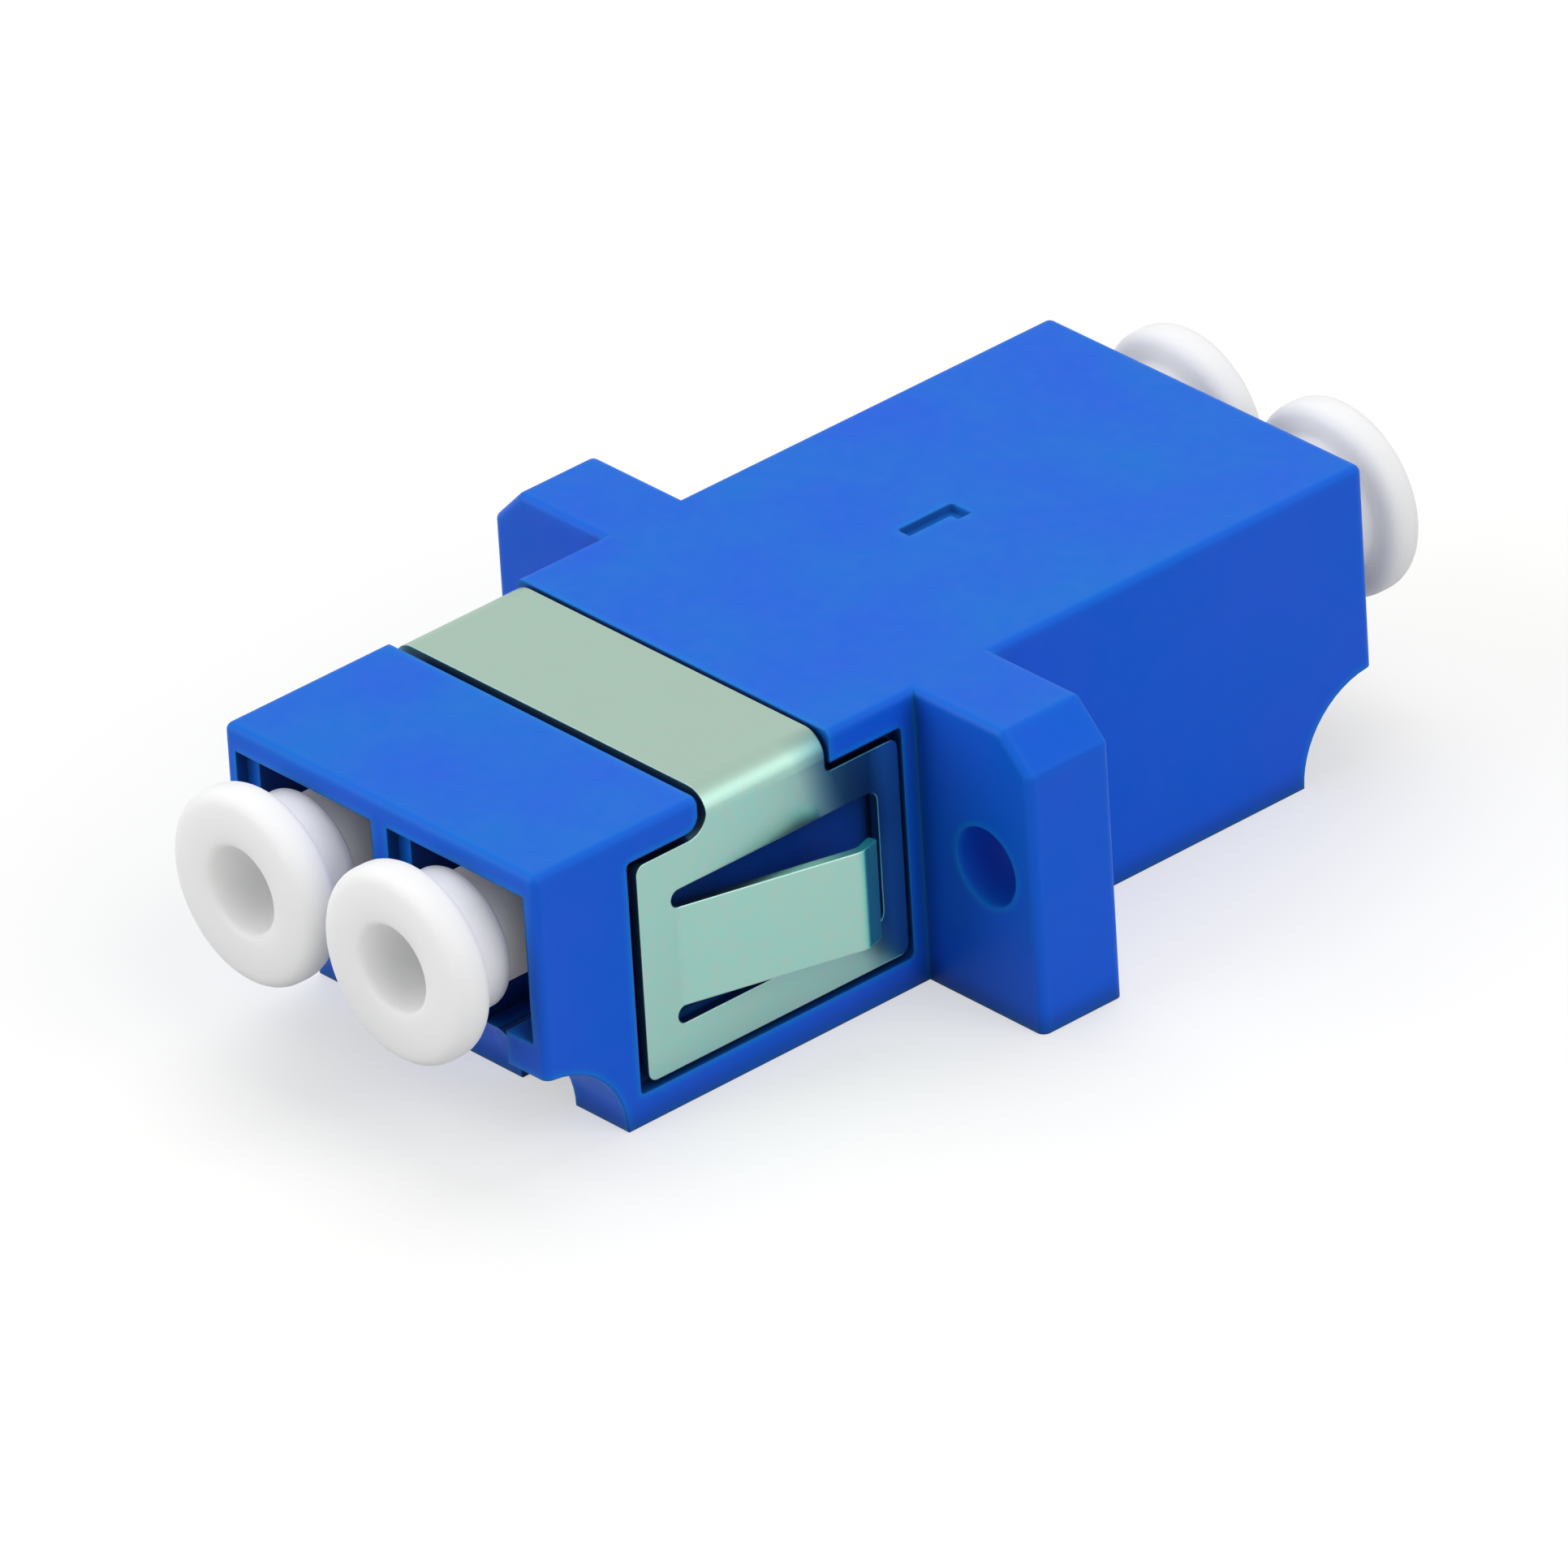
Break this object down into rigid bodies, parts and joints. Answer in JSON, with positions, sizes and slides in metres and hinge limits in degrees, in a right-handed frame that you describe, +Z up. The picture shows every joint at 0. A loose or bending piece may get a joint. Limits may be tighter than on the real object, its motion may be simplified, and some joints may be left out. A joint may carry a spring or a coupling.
{
  "type": "lc fibre adapter",
  "caption": "Flanged duplex fibre adapter: a moulded box with ports at both ends, a sprung steel panel clip and pull-out dust caps.",
  "frame": {"origin": "middle of the underside, which the adapter stands on", "axes": "+X across the two ports, +Y along them towards the rear ports, +Z up; the clip is on the -Y side of the flange"},
  "size_m": [0.022, 0.036, 0.0092],
  "materials": {
    "blue_moulding": "satin moulded",
    "spring_steel": "satin rolled sheet",
    "white_ceramic": "polished zirconia ceramic",
    "white_cap": "soft satin"
  },
  "bodies": {
    "adapter": {"housing": "blue_moulding", "panel_clip": "spring_steel", "sleeve_retainer_left": "blue_moulding", "sleeve_retainer_right": "blue_moulding", "split_sleeve_left": "white_ceramic", "split_sleeve_right": "white_ceramic"},
    "dust_cap_front_left": {"dust_cap_front_left": "white_cap"},
    "dust_cap_front_right": {"dust_cap_front_right": "white_cap"},
    "dust_cap_rear_left": {"dust_cap_rear_left": "white_cap"},
    "dust_cap_rear_right": {"dust_cap_rear_right": "white_cap"}
  },
  "joints": [
    {"name": "pull_out_front_left", "type": "slide", "parent": "adapter", "child": "dust_cap_front_left", "axis": [0, -1, 0], "range_m": [0, 0.02]},
    {"name": "pull_out_front_right", "type": "slide", "parent": "adapter", "child": "dust_cap_front_right", "axis": [0, -1, 0], "range_m": [0, 0.02]},
    {"name": "pull_out_rear_left", "type": "slide", "parent": "adapter", "child": "dust_cap_rear_left", "axis": [0, 1, 0], "range_m": [0, 0.02]},
    {"name": "pull_out_rear_right", "type": "slide", "parent": "adapter", "child": "dust_cap_rear_right", "axis": [0, 1, 0], "range_m": [0, 0.02]}
  ]
}
